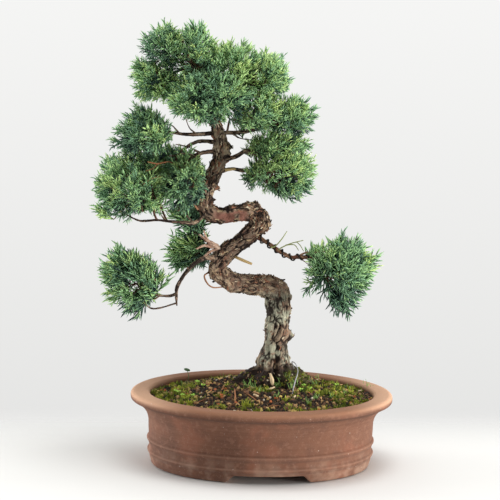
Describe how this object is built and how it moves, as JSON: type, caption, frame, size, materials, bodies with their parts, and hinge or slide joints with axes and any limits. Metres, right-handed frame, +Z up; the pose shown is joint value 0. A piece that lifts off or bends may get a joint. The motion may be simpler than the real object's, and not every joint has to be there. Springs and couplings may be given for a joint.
{
  "type": "potted juniper bonsai",
  "caption": "Small juniper bonsai with a sharply bent trunk, boughs and separate uneven foliage masses, rooted in a low oval clay pot with a wide lip.",
  "frame": {"origin": "under the middle of the whole plant's box, level with the underside of the pot's foot", "axes": "+Z up, +X along the pot's long side to the right of the front view, +Y to the back"},
  "size_m": [0.244, 0.1614, 0.35],
  "materials": {
    "clay": "unglazed red-brown clay, matt",
    "soil": "dark damp potting grit",
    "bark": "flaking brown bark",
    "deadwood": "bare weathered wood",
    "foliage": "matt scale foliage"
  },
  "bodies": {
    "root": {"pot": "clay", "soil": "soil", "trunk": "bark", "bough_right_wired": "bark", "bough_left_hook": "bark", "bough_ball": "bark", "bough_low_left": "bark", "bough_left_top": "bark", "bough_left_back": "bark", "bough_left_front": "bark", "bough_right_top": "bark", "bough_right_upper": "bark", "bough_right_cut": "bark", "bough_inner": "bark", "stub_bleached": "deadwood", "mass_crest": "foliage", "mass_crown_left": "foliage", "mass_top": "foliage", "mass_top_middle": "foliage", "mass_top_right": "foliage", "mass_crown_right": "foliage", "mass_shoulder": "foliage", "mass_crown_front": "foliage", "mass_crown_back": "foliage", "mass_right_upper": "foliage", "mass_right_lower": "foliage", "mass_left_upper": "foliage", "mass_left_main": "foliage", "mass_left_inner": "foliage", "mass_left_back": "foliage", "mass_inner_top": "foliage", "mass_inner_low": "foliage", "mass_ball": "foliage", "mass_right": "foliage"}
  },
  "joints": []
}
